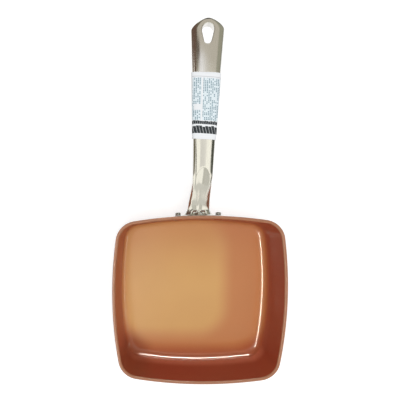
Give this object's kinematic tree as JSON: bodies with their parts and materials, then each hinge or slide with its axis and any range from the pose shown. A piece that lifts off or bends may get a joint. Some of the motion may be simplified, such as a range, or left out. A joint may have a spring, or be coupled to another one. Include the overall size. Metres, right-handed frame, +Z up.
{
  "type": "square frying pan",
  "caption": "Deep square frying pan with bowed sides, rounded corners, copper-coloured ceramic coat, riveted hollow steel handle with thumb dimple, hanging hole and card sleeve.",
  "frame": {"origin": "centre of the base plate's underside, on the surface that the pan stands on", "axes": "+Z up out of the pan, +Y along the handle towards its tip, +X to the right when looking along the handle"},
  "size_m": [0.2414, 0.4627, 0.1051],
  "materials": {
    "copper_ceramic": "glossy copper-coloured ceramic coat on drawn aluminium",
    "polished_steel": "mirror-polished stainless steel",
    "plate_steel": "stainless steel with fine turned rings",
    "rivet_steel": "satin stainless steel",
    "label_card": "satin printed card"
  },
  "bodies": {
    "root": {"pan_body": "copper_ceramic", "base_plate": "plate_steel", "handle_bracket": "polished_steel", "handle_upper_shell": "polished_steel", "handle_lower_shell": "polished_steel", "hang_hole_liner": "polished_steel", "rivets": "rivet_steel", "label_sleeve": "label_card"}
  },
  "joints": []
}
